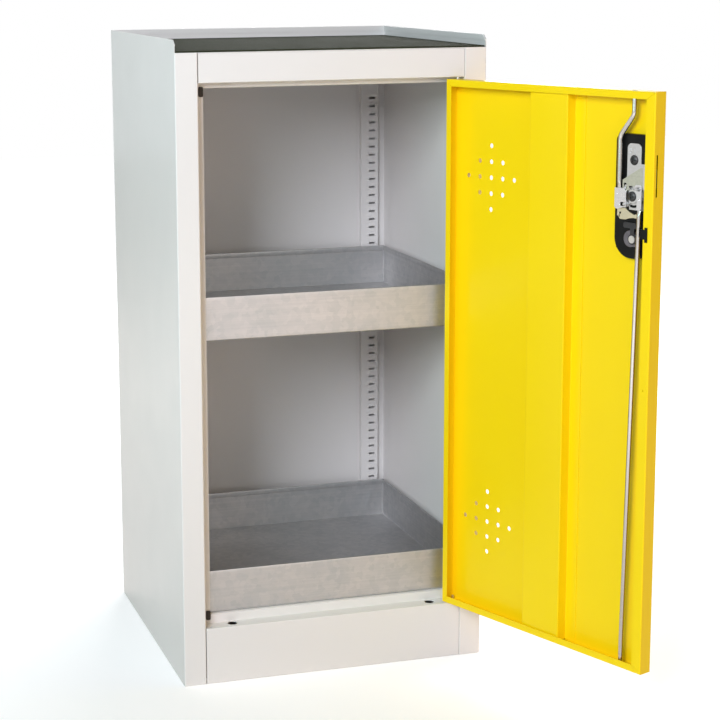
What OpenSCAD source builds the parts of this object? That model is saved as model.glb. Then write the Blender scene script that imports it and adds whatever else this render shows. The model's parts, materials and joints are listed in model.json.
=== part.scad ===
// Chemical storage cabinet: a folded steel carcass with a roof mat, one ventilated door hung on
// pivot pins, two galvanised spill trays, and a locking gear that throws two rods and a side bolt.
// Origin: on the floor, under the middle of the cabinet's front face. +X right, +Y back, +Z up.

/* [Carcass] */
// Width over the side panels
cab_w = 545; // [500:1:600]
// Depth from the front face to the rear panel
cab_d = 520; // [480:1:600]
// Height of the roof sheet above the floor
roof_z = 1084; // [1040:1:1140]
// Height of the raised rim above the roof sheet
rim_h = 21; // [15:1:30]
// Thickness of the carcass and door sheet
sheet = 1; // [0.8:0.1:1.2]
// Inside radius of every fold
fold_r = 0.8; // [0.5:0.1:1.2]
// Width of the stile on each side of the doorway
stile_w = 39; // [36:1:44]
// Seam between a stile and the end of a rail
seam = 0.8; // [0.4:0.1:1]
// Height of the header above the doorway
header_h = 50; // [44:1:60]
// Height of the plinth under the doorway
plinth_h = 100; // [90:1:120]
// How far the doorway's rebate lies behind the front face
rebate_d = 28; // [28:0.5:30]
// Width of the rebate strip beside the doorway
rebate_w = 15; // [12:1:16]
// Height of the upstand behind the sill
upstand_h = 16; // [14:1:20]

/* [Door] */
// Thickness of the folded door
door_t = 25; // [24:0.5:25]
// Gap between the door and the stile
door_gap = 3.5; // [3:0.5:4]
// Angle at which the door stands open
door_rest = 112; // [0:1:120]
// Pivot axis behind the front face
pivot_y = 5.3; // [5.2:0.1:6]
// Pivot axis inside the doorway's edge
pivot_in = 10.7; // [10:0.1:12]
// Width of the door's lips at the hinge, the top and the bottom
lip_w = 12; // [10:1:14]
// Width of the lip along the free edge
lip_free_w = 18; // [16:1:18]
// Width of the stiffener's raised crown
crown_w = 83; // [70:1:90]
// Depth of the stiffener
crown_d = 20; // [16:1:21]
// Pitch of the ventilation holes
vent_pitch = 27; // [24:1:30]
// Diameter of a ventilation hole
vent_d = 8; // [6:0.5:10]
// Distance from the door's top or bottom edge to the middle of a vent pattern
vent_z = 163; // [150:1:180]

/* [Locking gear] */
// Spindle behind the free edge
spindle_in = 50; // [48:1:52]
// Spindle below the door's top edge
spindle_down = 164; // [150:1:180]
// Radius of the circle that the crank pins run on
crank_r = 18; // [17.5:0.5:18.5]
// Turn of the handle
handle_turn = 90; // [80:5:90]
// Diameter of the rods
rod_d = 8; // [7:0.5:8]
// Lock cylinder below the spindle
key_down = 67; // [66:0.5:68]
// Depth of the handle's dish behind the door's outer face
pan_y = 11; // [10.5:0.5:11]

/* [Trays] */
// Height of a tray's wall
tray_h = 75; // [60:1:90]
// Width of a tray
tray_w = 534; // [520:1:536]
// Depth of a tray
tray_d = 470; // [450:1:472]
// Height of the upper tray's underside above the floor
shelf_z = 597; // [405:16:805]
// Pitch of the slots in the uprights
slot_pitch = 16; // [16:1:20]

/* [Hidden] */
$fn = 48;

body_colour = [0.90, 0.90, 0.88];
door_colour = [0.98, 0.83, 0.09];
zinc_colour = [0.72, 0.74, 0.77];
dark_colour = [0.09, 0.09, 0.10];
brass_colour = [0.82, 0.76, 0.58];

// Doorway
half_w = cab_w / 2;
door_half = half_w - stile_w;
head_z = roof_z - header_h;
floor_z = plinth_h + upstand_h;
top_z = roof_z + rim_h;
hem_h = 10;
rim_clip = [10, 7];
foot_w = 15;

// Door, laid out as it stands closed
pivot_x = door_half - pivot_in;
door_left = -door_half + door_gap;
door_right = door_half - door_gap;
door_foot = plinth_h + 3;
door_head = head_z - 3;
pin_r = 2.5;
pin_fit = 0.05;
rod_y = 17;
strike_x = half_w - 90.5;
strike_r = 8.5;

// Locking gear, in layers counted from the door's outer face
plate_t = 1.5;
crank_y = 13;
crank_t = 2.5;
bolt_y = 16;
bolt_t = 2;
link_y = 18.5;
link_t = 1.5;
spindle_x = door_left + spindle_in;
spindle_z = door_head - spindle_down;
vent_x = door_right - 86.5;
rod_throw = 2 * crank_r * sin(handle_turn / 2);
crank_pin = 2.2;
slot_fit = 0.35;
hub_r = 5.4;
key_at = [2, -key_down];

// Trays and uprights
tray_t = 1.2;
tray_y = rebate_d + 7;
upright_y = cab_d - 12;
slot_w = 12;
slot_h = 4;
slot_first = 147;
slot_count = floor((head_z - 60 - slot_first) / slot_pitch);
slot_x = half_w - 30;

// A strip of sheet folded along a path. Each inner point of the path becomes a round bend, and
// every point of the strip's middle line is stepped half the thickness to either side.
function unit(v) = v / norm(v);
function turned(v, a) = [v.x * cos(a) - v.y * sin(a), v.x * sin(a) + v.y * cos(a)];
function left_of(v) = [-v.y, v.x];
function bend_angle(p, i) = let (a = unit(p[i] - p[i - 1]), b = unit(p[i + 1] - p[i]))
    atan2(a.x * b.y - a.y * b.x, a * b);
function bend(p, i, r, n) = let (
        a = unit(p[i] - p[i - 1]), turn = bend_angle(p, i), side = sign(turn),
        start = p[i] - a * r * tan(abs(turn) / 2), middle = start + left_of(a) * side * r)
    [for (k = [0:n]) let (s = turn * k / n)
        [middle + turned(start - middle, s), turned(left_of(a), s)]];
function middle_line(p, r, n) = concat(
    [[p[0], left_of(unit(p[1] - p[0]))]],
    [for (i = [1:1:len(p) - 2]) each bend(p, i, r, n)],
    [[p[len(p) - 1], left_of(unit(p[len(p) - 1] - p[len(p) - 2]))]]);
function strip_outline(p, t, r, n) = let (m = middle_line(p, r + t / 2, n)) concat(
    [for (q = m) q[0] + q[1] * t / 2],
    [for (i = [len(m) - 1:-1:0]) m[i][0] - m[i][1] * t / 2]);

module folded(path, t = sheet, r = fold_r, n = 3) {
    polygon(strip_outline(path, t, r, n));
}

// A profile drawn in Y and Z, carried along X between two ends
module along_x(x0, x1) {
    translate([x0, 0, 0]) rotate([90, 0, 90]) linear_extrude(height = x1 - x0) children();
}

// A profile drawn in X and Y, carried up Z between two heights
module along_z(z0, z1) {
    translate([0, 0, z0]) linear_extrude(height = z1 - z0) children();
}

// A profile drawn as seen from inside the door, with the spindle at its origin and the free
// edge to the right, carried from one depth to another behind the door's outer face
module behind_door(y0, y1) {
    translate([spindle_x, y1, spindle_z]) rotate([90, 0, 0]) linear_extrude(height = y1 - y0)
        mirror([1, 0]) children();
}

// Everything on the door is laid out closed and then swung open about the pivot pins
module on_door() {
    translate([pivot_x, pivot_y, 0]) rotate([0, 0, door_rest]) translate([-pivot_x, -pivot_y, 0])
        children();
}

module on_right() {
    mirror([1, 0, 0]) children();
}

// Side panel: outer wall, stile, rebate strip, rear flange, foot flange and hemmed rim.
// The path starts at the rear flange and runs round to the inner edge of the rebate strip.
module side_sheet() {
    m = sheet / 2;
    path = [
        [-half_w + foot_w, cab_d - sheet - m],
        [-half_w + m, cab_d - sheet - m],
        [-half_w + m, m],
        [-door_half - m, m],
        [-door_half - m, rebate_d + m],
        [-door_half + rebate_w, rebate_d + m]];
    along_z(0, roof_z - sheet) folded(path);
    // Rim: the wall runs on above the roof, its top edge folded down inside as a hem, and its
    // front corner is clipped
    along_x(-half_w, -half_w + sheet) polygon([[0, roof_z - 2 * sheet], [0, top_z - rim_clip.y],
        [rim_clip.x, top_z], [cab_d - sheet, top_z], [cab_d - sheet, roof_z - 2 * sheet]]);
    along_x(-half_w + sheet, -half_w + 2 * sheet) polygon([[2, top_z - hem_h],
        [2, top_z - rim_clip.y - 1], [rim_clip.x + 2, top_z - 0.5],
        [cab_d - 2 * sheet, top_z - 0.5], [cab_d - 2 * sheet, top_z - hem_h]]);
    // Foot flange
    translate([-half_w + m, 2, 0]) cube([foot_w, cab_d - foot_w - 4, sheet]);
}

module left_side() {
    color(body_colour) difference() {
        side_sheet();
        // Slot in the stile for the side bolt
        translate([-door_half - 3, bolt_y - 1, spindle_z + 13])
            cube([4, bolt_t + 2, 37]);
    }
}

module right_side() {
    color(body_colour) on_right() side_sheet();
}

// Rear panel: flat, with a foot flange and a hem that runs along the rim
module rear_panel() {
    m = sheet / 2;
    path = [[cab_d - foot_w, m], [cab_d - m, m], [cab_d - m, foot_w]];
    color(body_colour) {
        along_x(-half_w + foot_w + 2, half_w - foot_w - 2) folded(path);
        translate([-half_w, cab_d - sheet, 2]) cube([cab_w, sheet, top_z - 2]);
        translate([-half_w + sheet, cab_d - 2 * sheet, top_z - hem_h])
            cube([cab_w - 2 * sheet, sheet, hem_h - 0.5]);
    }
}

// Roof sheet with flanges turned down against the side panels
module roof_panel() {
    m = sheet / 2;
    x = half_w - sheet - m;
    z = roof_z - m;
    path = [[-x, z - 14], [-x, z], [x, z], [x, z - 14]];
    color(body_colour) difference() {
        translate([0, cab_d - sheet, 0]) rotate([90, 0, 0])
            linear_extrude(height = cab_d - sheet) folded(path);
        // Each flange stops behind the stile
        for (s = [-1, 1]) translate([s * (half_w - 3) - 8, -1, z - 16])
            cube([16, rebate_d + 6, 16 - m]);
        // and short of the rear panel's flanges
        for (s = [-1, 1]) translate([s * (half_w - 3) - 8, cab_d - 3 * sheet, z - 16])
            cube([16, 4 * sheet, 16 - m]);
    }
}

// Fittings punched in the header and the sill: strike holes for the rods and pivot pin holes,
// both on the left and on the right, so that the door can be hung on either side
module fitting_holes(z) {
    for (s = [-1, 1]) {
        translate([s * strike_x, rod_y, z]) cylinder(r = strike_r, h = 6, center = true);
        translate([s * pivot_x, pivot_y, z]) cylinder(r = pin_r, h = 6, center = true);
    }
}

// Notches that let a rail's rear edge pass the rebate strips of the side panels
module strip_notches(z) {
    for (s = [-1, 1]) translate([s * (door_half - rebate_w / 2 + 1) - rebate_w / 2 - 1,
        rebate_d, z - 20]) cube([rebate_w + 2, 40, 40]);
}

module header_rail() {
    m = sheet / 2;
    path = [
        [24, roof_z - sheet - m],
        [m, roof_z - sheet - m],
        [m, head_z + m],
        [rebate_d + m, head_z + m],
        [rebate_d + m, head_z - 10 + m],
        [rebate_d + 22, head_z - 10 + m]];
    color(body_colour) difference() {
        along_x(-door_half + seam, door_half - seam) folded(path);
        fitting_holes(head_z + m);
        strip_notches(head_z);
    }
}

module sill_rail() {
    m = sheet / 2;
    path = [
        [foot_w, m],
        [m, m],
        [m, plinth_h - m],
        [rebate_d + m, plinth_h - m],
        [rebate_d + m, floor_z - sheet - m],
        [rebate_d + 26, floor_z - sheet - m]];
    color(body_colour) difference() {
        along_x(-door_half + seam, door_half - seam) folded(path);
        fitting_holes(plinth_h - m);
        strip_notches(plinth_h + 3);
    }
}

// Floor of the cabinet, with its edges turned down against the side panels
module floor_panel() {
    m = sheet / 2;
    x = half_w - sheet - m;
    z = floor_z - m;
    path = [[-x, z - 14], [-x, z], [x, z], [x, z - 14]];
    color(body_colour) difference() {
        translate([0, cab_d - 2 * sheet, 0]) rotate([90, 0, 0])
            linear_extrude(height = cab_d - 2 * sheet - rebate_d) folded(path);
        // The front corners clear the stiles and their rebate strips
        for (s = [-1, 1]) translate([s * (door_half + 20) - 35, rebate_d - 1, z - 16])
            cube([70, 1 + sheet, 20]);
    }
}

// Row of slots in an upright's web
module slots(y) {
    for (i = [0:slot_count])
        translate([slot_x - slot_w / 2, y, slot_first + i * slot_pitch])
            cube([slot_w, 3, slot_h]);
}

// Slotted upright on the rear panel: a shallow channel with one foot
module rear_upright() {
    m = sheet / 2;
    out = half_w - 16;
    path = [
        [out - 43, cab_d - sheet - m],
        [out - 36, cab_d - sheet - m],
        [out - 36, upright_y + m],
        [out - m, upright_y + m],
        [out - m, cab_d - sheet]];
    difference() {
        along_z(floor_z + 1, roof_z - 20) folded(path);
        slots(upright_y - 1);
    }
}

module upright_rear_right() {
    color(body_colour) rear_upright();
}

module upright_rear_left() {
    color(body_colour) on_right() rear_upright();
}

// Slotted upright behind the rebate strip, folded back along the side wall
module front_upright() {
    m = sheet / 2;
    y = rebate_d + sheet;
    path = [
        [half_w - sheet - m, y + 18],
        [half_w - sheet - m, y + 4 - m],
        [door_half - rebate_w + 3, y + 4 - m],
        [door_half - rebate_w + 3, y]];
    difference() {
        along_z(floor_z + 1, head_z - 12) folded(path);
        slots(y + 2);
    }
}

module upright_front_right() {
    color(body_colour) front_upright();
}

module upright_front_left() {
    color(body_colour) on_right() front_upright();
}

// Shelf clip: a strip of steel hooked through a slot, with a seat under the tray.
// face_y: face of the upright that looks into the cabinet; dir: 1 into it from the front.
module clip(face_y, dir) {
    seat = shelf_z - plate_t / 2;
    path = [
        [face_y - dir * 3, seat - 6],
        [face_y - dir * 3, seat],
        [face_y + dir * 16, seat],
        [face_y + dir * 16, seat - 8]];
    translate([slot_x, 0, 0]) along_x(-5, 5) folded(path, plate_t, 0.6);
}

module shelf_clips() {
    color(zinc_colour) for (s = [0, 1]) mirror([s, 0, 0]) {
        clip(upright_y, -1);
        clip(rebate_d + sheet + 4, 1);
    }
}

// Rubber mat on the roof sheet, with fine ribs running from side to side
module top_mat() {
    w = cab_w - 6 * sheet;
    d = cab_d - 5 * sheet;
    rib_pitch = 10;
    color([0.23, 0.28, 0.23]) {
        translate([-w / 2, 1, roof_z]) cube([w, d, 2]);
        for (i = [0:floor(d / rib_pitch) - 1])
            translate([-w / 2, 4 + i * rib_pitch, roof_z + 2]) cube([w, 4, 1]);
    }
}

module door_buffers() {
    color([0.16, 0.12, 0.09]) for (z = [floor_z - 9.5, head_z - 24])
        translate([-door_half + rebate_w - 8, door_t + 0.3, z])
            cube([8, rebate_d - door_t - 0.3, 16.5]);
}

// Pivot pins: the lower stands in the sill and carries the door, the upper hangs in the header
module hinge_pins() {
    color(zinc_colour) {
        translate([pivot_x, pivot_y, plinth_h - 12]) cylinder(r = pin_r, h = 24);
        translate([pivot_x, pivot_y, plinth_h - 4]) cylinder(r = 4, h = 3);
        translate([pivot_x, pivot_y, head_z - 12]) cylinder(r = pin_r, h = 24);
        translate([pivot_x, pivot_y, head_z + 1]) cylinder(r = 4, h = 3);
    }
}

module hinge_washer() {
    color(dark_colour) translate([pivot_x, pivot_y, plinth_h]) difference() {
        cylinder(r = 5, h = 2.8);
        translate([0, 0, -1]) cylinder(r = pin_r, h = 5);
    }
}

// Rectangle with rounded corners, for the outside of folded pans
module soft_rect(x0, y0, x1, y1, r) {
    translate([x0 + r, y0]) square([x1 - x0 - 2 * r, y1 - y0]);
    translate([x0, y0 + r]) square([x1 - x0, y1 - y0 - 2 * r]);
    for (x = [x0 + r, x1 - r], y = [y0 + r, y1 - r]) translate([x, y]) circle(r = r);
}

// Spill tray: a folded pan with rounded bottom edges, hemmed rims and welded corners
module tray(z) {
    w = tray_w / 2;
    r = tray_t + fold_r;
    color([0.66, 0.68, 0.69]) translate([0, tray_y, z]) {
        difference() {
            intersection() {
                along_x(-w, w) soft_rect(0, 0, tray_d, tray_h + 2 * r, r);
                translate([0, tray_d, 0]) rotate([90, 0, 0]) linear_extrude(height = tray_d)
                    soft_rect(-w, 0, w, tray_h + 2 * r, r);
                translate([-w, 0, 0]) cube([tray_w, tray_d, tray_h]);
            }
            translate([-w + tray_t, tray_t, tray_t])
                cube([tray_w - 2 * tray_t, tray_d - 2 * tray_t, tray_h]);
        }
        // Hems folded inwards along the top edges
        for (y = [tray_t, tray_d - 2 * tray_t]) translate([-w + tray_t, y, tray_h - hem_h])
            cube([tray_w - 2 * tray_t, tray_t, hem_h]);
        for (x = [-w + tray_t, w - 2 * tray_t]) translate([x, tray_t, tray_h - hem_h])
            cube([tray_t, tray_d - 2 * tray_t, hem_h]);
    }
}

module upper_tray() {
    tray(shelf_z);
}

module lower_tray() {
    tray(floor_z);
}

// Seam between two lips, from the corner of the door to the corner of its opening
module lip_seam(a, b) {
    translate([0, door_t + 1, 0]) rotate([90, 0, 0]) linear_extrude(height = sheet + 1)
        bar(a, b, 0.4);
}

// Door: a skin with four returns and four inward lips, mitred at the corners
module door_panel() {
    w = door_right - door_left;
    h = door_head - door_foot;
    r = sheet + fold_r;
    color(door_colour) on_door() difference() {
        intersection() {
            along_z(door_foot, door_head) soft_rect(door_left, 0, door_right, door_t, r);
            along_x(door_left, door_right) soft_rect(0, door_foot, door_t, door_head, r);
        }
        translate([door_left + sheet, sheet, door_foot + sheet])
            cube([w - 2 * sheet, door_t - 2 * sheet, h - 2 * sheet]);
        translate([door_left + lip_free_w, door_t - 2, door_foot + lip_w])
            cube([w - lip_free_w - lip_w, 4, h - 2 * lip_w]);
        for (z = [[door_foot, 1], [door_head, -1]]) {
            lip_seam([door_left + 1, z[0] + z[1]],
                [door_left + lip_free_w + 1, z[0] + z[1] * (lip_w + 1)]);
            lip_seam([door_right - 1, z[0] + z[1]],
                [door_right - lip_w - 1, z[0] + z[1] * (lip_w + 1)]);
        }
        vents(door_foot + vent_z);
        vents(door_head - vent_z);
        // Cut-out for the handle's dish
        behind_door(-1, sheet + 1) dish_outline(0.2);
        // Slot in the free edge for the side bolt
        translate([door_left - 1, bolt_y - 1, spindle_z + 3]) cube([3, bolt_t + 2, 65]);
        // Holes in the top and bottom returns for the rod guides and the pivot pins
        for (z = [door_foot, door_head]) {
            translate([-strike_x, rod_y, z]) cylinder(r = 5.5, h = 4, center = true);
            translate([pivot_x, pivot_y, z]) cylinder(r = pin_r + pin_fit, h = 4, center = true);
        }
        // Small hole in the free lip at mid-height
        translate([door_left + 9.5, door_t, (door_foot + door_head) / 2]) rotate([90, 0, 0])
            cylinder(r = 1.6, h = 4, center = true);
    }
}

// Thirteen holes in a diamond
module vents(z) {
    for (i = [-2:2], k = [-2:2]) if (abs(i) + abs(k) <= 2)
        translate([vent_x + i * vent_pitch, 0, z + k * vent_pitch]) rotate([90, 0, 0])
            cylinder(d = vent_d, h = 4, center = true, $fn = 24);
}

// Hat-section stiffener welded upright on the inside of the skin
module door_stiffener() {
    m = sheet / 2;
    x = door_left + 225;
    c = crown_w / 2;
    foot = 22;
    path = [
        [x - c - foot, sheet + m], [x - c + m, sheet + m], [x - c + m, sheet + crown_d - m],
        [x + c - m, sheet + crown_d - m], [x + c - m, sheet + m], [x + c + foot, sheet + m]];
    color(door_colour) on_door() along_z(door_foot + sheet + 3, door_head - sheet) folded(path);
}

// Reinforcing plates behind the door's returns, where the pivot pins bear
module pivot_plates() {
    t = 2;
    color(door_colour) on_door() for (z = [door_foot + sheet, door_head - sheet - t])
        translate([0, 0, z]) difference() {
            translate([door_right - sheet - 26, sheet, 0]) cube([26, door_t - 2 * sheet, t]);
            translate([pivot_x, pivot_y, -1]) cylinder(r = pin_r + pin_fit, h = t + 2);
        }
}

// Plastic bushes that line the rod holes in the returns
module rod_guides() {
    color(dark_colour) on_door() for (e = [[door_foot, 0], [door_head, 1]])
        translate([-strike_x, rod_y, e[0]]) mirror([0, 0, e[1]]) difference() {
            union() {
                cylinder(r = 5.5, h = 5);
                translate([0, 0, sheet]) cylinder(r = 6.8, h = 3);
            }
            translate([0, 0, -1]) cylinder(r = rod_d / 2 + 0.05, h = 8);
        }
}

// Outline of the handle's dish, rounder at its foot than at its head
module dish_outline(grow) {
    x0 = -38 - grow;
    x1 = 36 + grow;
    z1 = 96 + grow;
    z0 = -98 - grow;
    foot = 32 + grow;
    head = 12 + grow;
    translate([x0, z0 + foot]) square([x1 - x0, z1 - z0 - foot - head]);
    translate([x0 + foot, z0]) square([x1 - x0 - 2 * foot, 2 * foot]);
    translate([x0 + head, z1 - 2 * head]) square([x1 - x0 - 2 * head, 2 * head]);
    for (x = [x0 + foot, x1 - foot]) translate([x, z0 + foot]) circle(r = foot);
    for (x = [x0 + head, x1 - head]) translate([x, z1 - head]) circle(r = head);
}

// Lock housing: a plastic dish let into the door, with a flange outside and a flat back inside
module lock_housing() {
    wall = 2.5;
    color(dark_colour) on_door() {
        difference() {
            union() {
                behind_door(-3, 0) dish_outline(5);
                behind_door(0, pan_y) dish_outline(0);
                // Lugs that snap in behind the door's skin
                for (at = [[-36, -84], [-39.5, -20], [-39.5, 40]])
                    behind_door(sheet + 0.2, pan_y - 2) translate(at) square([9, 12]);
            }
            behind_door(-4, pan_y - wall) dish_outline(-wall);
            behind_door(0, pan_y + 1) circle(r = hub_r + 0.1);
            behind_door(0, pan_y + 1) translate(key_at) circle(r = 10);
            behind_door(0, pan_y + 1) translate([0, 56.3]) circle(r = 2);
        }
        // Boss that carries the spindle
        difference() {
            behind_door(-2, pan_y - wall) circle(r = 12);
            behind_door(-5, pan_y + 1) circle(r = hub_r + 0.1);
        }
        // Boss round the lock cylinder
        difference() {
            behind_door(-2, pan_y - wall) translate(key_at) circle(r = 14);
            behind_door(-5, pan_y + 1) translate(key_at) circle(r = 10);
        }
        // Clip that hooks over the free lip
        behind_door(pan_y, door_t + 1.7) translate([27, -62.5]) square([4, 15]);
        behind_door(door_t + 0.2, door_t + 1.7) {
            translate([27, -62.5]) square([10, 15]);
            translate([36, -67]) square([5, 23]);
        }
    }
}

// Steel plate with a round top that the locking gear is built on
module lock_base_plate() {
    color(zinc_colour) on_door() {
        difference() {
            behind_door(pan_y, pan_y + plate_t) difference() {
                union() {
                    polygon([[-14, 74], [-14, -12], [-8, -18], [-8, -21.5], [23, -21.5],
                        [23, 11], [34.5, 11], [34.5, 51], [14, 51], [14, 74], [6, 82],
                        [-6, 82]]);
                    for (x = [-6, 6]) translate([x, 74]) circle(r = 8);
                }
                circle(r = hub_r + 0.1);
                translate([0, 56.3]) circle(r = 2);
                arc_slot(16, 1.9, -108, -12);
            }
        }
        // Punched block near the top
        behind_door(pan_y + plate_t - 0.2, pan_y + plate_t + 1.5) translate([-12, 65])
            difference() {
                square([13, 12]);
                for (z = [2.5, 7.5]) translate([4, z]) square([5, 2]);
            }
    }
}

// Curved slot between two angles, with round ends
module arc_slot(r, half, a0, a1) {
    steps = 16;
    inner = [for (k = [0:steps]) pin_at(r - half, a0 + (a1 - a0) * k / steps)];
    outer = [for (k = [steps:-1:0]) pin_at(r + half, a0 + (a1 - a0) * k / steps)];
    polygon(concat(inner, outer));
    for (a = [a0, a1]) translate(pin_at(r, a)) circle(r = half, $fn = 24);
}

// Strap over the side bolt, on two posts
module bolt_guide() {
    y = pan_y + plate_t;
    color(zinc_colour) on_door() {
        for (z = [12.8, 46.7]) behind_door(y, bolt_y + bolt_t + 1) translate([24, z])
            square([8, 3]);
        behind_door(bolt_y + bolt_t + 0.4, bolt_y + bolt_t + 1.9) translate([24, 12.8])
            square([8, 36.9]);
    }
}

module lock_screws() {
    color(dark_colour) on_door() {
        behind_door(pan_y - 2.5, pan_y + plate_t) translate([0, 56.3]) circle(r = 2);
        screw_head(pan_y + plate_t, 8, [0, 56.3]);
    }
}

// Button head with a cross recess
module screw_head(y, r, at) {
    difference() {
        union() {
            behind_door(y, y + 2.4) translate(at) circle(r = r);
            behind_door(y, y + 3.4) translate(at) circle(r = r - 1.4);
        }
        behind_door(y + 1.6, y + 4) translate(at) {
            square([r, 1.4], center = true);
            square([1.4, r], center = true);
        }
    }
}

module lock_cylinder() {
    color([0.30, 0.31, 0.33]) on_door() difference() {
        union() {
            behind_door(-3.5, pan_y) translate(key_at) circle(r = 10);
            behind_door(pan_y, pan_y + plate_t) translate(key_at) {
                circle(r = 12);
                translate([-7, 0]) circle(r = 13);
            }
            behind_door(pan_y, pan_y + 3) translate(key_at) circle(r = 9);
        }
        behind_door(-5, pan_y + 6) translate(key_at) circle(r = 6.05);
    }
}

// Handle: a hub in the dish and a waisted lever that stands clear of the door.
// Unlocked, it points level to the hinge side; locked, it stands up.
module handle_lever() {
    reach = 84;
    grip = reach - 9;
    color(dark_colour) on_door() {
        behind_door(-5, -2.2) circle(r = 12);
        intersection() {
            behind_door(-20, -5) rotate(180) {
                circle(r = 14);
                polygon([[0, 14], [18, 9.5], [34, 7.6], [grip, 9], [grip, -9], [34, -7.6],
                    [18, -9.5], [0, -14]]);
                translate([grip, 0]) circle(r = 9);
            }
            // Side of the lever: level over the hub, then a long low arch out to its tip
            translate([spindle_x, 0, spindle_z - 20]) linear_extrude(height = 40)
                polygon(concat(
                    [[-14.5, -5], [-14.5, -12], [-12.5, -14], [14, -14]],
                    [for (k = [1:8]) [14 + (reach - 14.5) * k / 8, -14 - 3 * sin(22.5 * k)]],
                    [[reach + 1, -12.5], [reach, -9.5]],
                    [for (k = [7:-1:1]) [14 + (reach - 14.5) * k / 8, -8.5 - 2 * sin(22.5 * k)]],
                    [[15, -5]]));
        }
    }
}

module handle_spindle() {
    color(zinc_colour) on_door() difference() {
        behind_door(-2.2, crank_y + crank_t) circle(r = hub_r);
        behind_door(crank_y - 4, crank_y + crank_t + 1) circle(r = 2.5);
    }
}

// Crank: three pins on one circle, two for the rods and one for the side bolt, and a stop.
// Seen from inside, locking turns it clockwise.
function pin_at(r, a) = [r * cos(a), r * sin(a)];
upper_pin = 180 + handle_turn / 2;
lower_pin = handle_turn / 2;
side_pin = 90 + handle_turn / 2;
stop_at = handle_turn / 2 - 60;

module lock_crank() {
    color(zinc_colour) on_door() {
        behind_door(crank_y, crank_y + crank_t) difference() {
            union() {
                circle(r = 11);
                for (a = [upper_pin, lower_pin, side_pin]) crank_arm(a, crank_r, 5);
                crank_arm(stop_at, 16, 3.5);
            }
            circle(r = hub_r);
        }
        for (a = [upper_pin, lower_pin]) behind_door(crank_y + crank_t, link_y + link_t + 0.6)
            translate(pin_at(crank_r, a)) circle(r = crank_pin);
        behind_door(crank_y + crank_t, bolt_y + bolt_t + 0.2)
            translate(pin_at(crank_r, side_pin)) circle(r = crank_pin);
        behind_door(pan_y + 0.2, crank_y) translate(pin_at(16, stop_at)) circle(r = 1.5);
    }
}

module crank_arm(a, r, half) {
    rotate(a) {
        translate([0, -half]) square([r, 2 * half]);
        translate([r, 0]) circle(r = half);
    }
}

module spindle_screw() {
    color(dark_colour) on_door() {
        behind_door(crank_y - 4, crank_y + crank_t) circle(r = 2.5);
        screw_head(crank_y + crank_t, 8, [0, 0]);
    }
}

// Slot that a crank pin runs in, across its part's travel. The pin swings out by bow and back,
// and the part moves evenly with the handle, so the slot is wider than the pin by the slack.
bow = crank_r * (1 - cos(handle_turn / 2));
slack = max([for (k = [0:20]) abs(crank_r * sin(handle_turn * (k / 20 - 0.5))
    - rod_throw * (k / 20 - 0.5))]);

module crank_slot(from, out) {
    r = crank_pin + slot_fit;
    corners = [[bow, slack, 0], [0, slack, 90], [0, -slack, 180], [bow, -slack, 270]];
    translate(pin_at(crank_r, from)) rotate(out) polygon([for (c = corners, k = [0:5])
        [c[0], c[1]] + pin_at(r, c[2] + 18 * k)]);
}

// A straight bar between two points
module bar(a, b, w) {
    d = b - a;
    if (norm(d) > 0.01) translate(a) rotate(atan2(d.y, d.x)) translate([0, -w / 2])
        square([norm(d), w]);
}

// Links: slotted plates that the crank pins push, each welded to the tongue of its rod
module upper_link() {
    color(zinc_colour) on_door() behind_door(link_y, link_y + link_t) difference() {
        polygon([[-32, 12], [-32, -18], [-29, -21], [-26, -21], [-14, -17.4], [-8.7, -17.4],
            [-8.7, 8], [-13, 12]]);
        crank_slot(upper_pin, 180);
        translate([-26, 3]) circle(r = 1.2);
    }
}

module lower_link() {
    color(zinc_colour) on_door() behind_door(link_y, link_y + link_t) difference() {
        polygon([[13.2, -20], [13.2, 5], [8.7, 8], [8.7, 17], [11, 19.5], [20, 19.5],
            [22.7, 17], [22.7, -16.7], [20.4, -20]]);
        crank_slot(lower_pin, 0);
        translate([18, -3.4]) circle(r = 1.2);
    }
}

// A rod bent through the points of its own axis. Each elbow is an arc of the given radius in
// n chords, with a knuckle a shade wider than the rod over every joint between two chords.
module bent_rod(p, r, n) {
    line = [for (q = middle_line(p, r, n)) q[0]];
    last = len(line) - 1;
    for (i = [0:last - 1]) {
        a = line[i];
        b = line[i + 1];
        translate([a.x, rod_y, a.y]) rotate([0, atan2(b.x - a.x, b.y - a.y), 0])
            cylinder(d = rod_d, h = norm(b - a));
    }
    for (i = [1:1:last - 1]) translate([line[i].x, rod_y, line[i].y])
        sphere(r = rod_d / 2 + 0.08);
}

// Flat tongue at a rod's end, under its link
module rod_tongue(x, z, h) {
    behind_door(bolt_y, link_y) translate([x - 3.5, z]) square([7, h]);
}

module upper_rod() {
    color(zinc_colour) on_door() {
        bent_rod([
            [spindle_x + 25, spindle_z + 12],
            [spindle_x + 25, door_head - 70.6],
            [-strike_x, door_head - 37],
            [-strike_x, door_head - 1]], 14, 3);
        rod_tongue(-25, -1.5, 20);
    }
}

module lower_rod() {
    color(zinc_colour) on_door() {
        bent_rod([
            [spindle_x - 17, spindle_z - 20.4],
            [-strike_x, door_foot + 45],
            [-strike_x, door_foot + 1]], 60, 1);
        rod_tongue(16.9, -23.5, 20);
    }
}

// Side bolt: slides out through the door's free edge and into the stile
module side_bolt() {
    edge = spindle_in - 2;
    color(zinc_colour) on_door() behind_door(bolt_y, bolt_y + bolt_t) difference() {
        polygon([[-18, 9], [-18, 25], [18, 46], [edge, 46], [edge, 16.5], [-5.8, 16.5],
            [-5.8, 9]]);
        crank_slot(side_pin, 90);
    }
}

module lock_core() {
    color([0.78, 0.77, 0.74]) on_door() difference() {
        behind_door(-3.2, pan_y + 6) translate(key_at) circle(r = 6);
        behind_door(-4, -1) translate(key_at) square([1.6, 8], center = true);
    }
}

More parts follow.
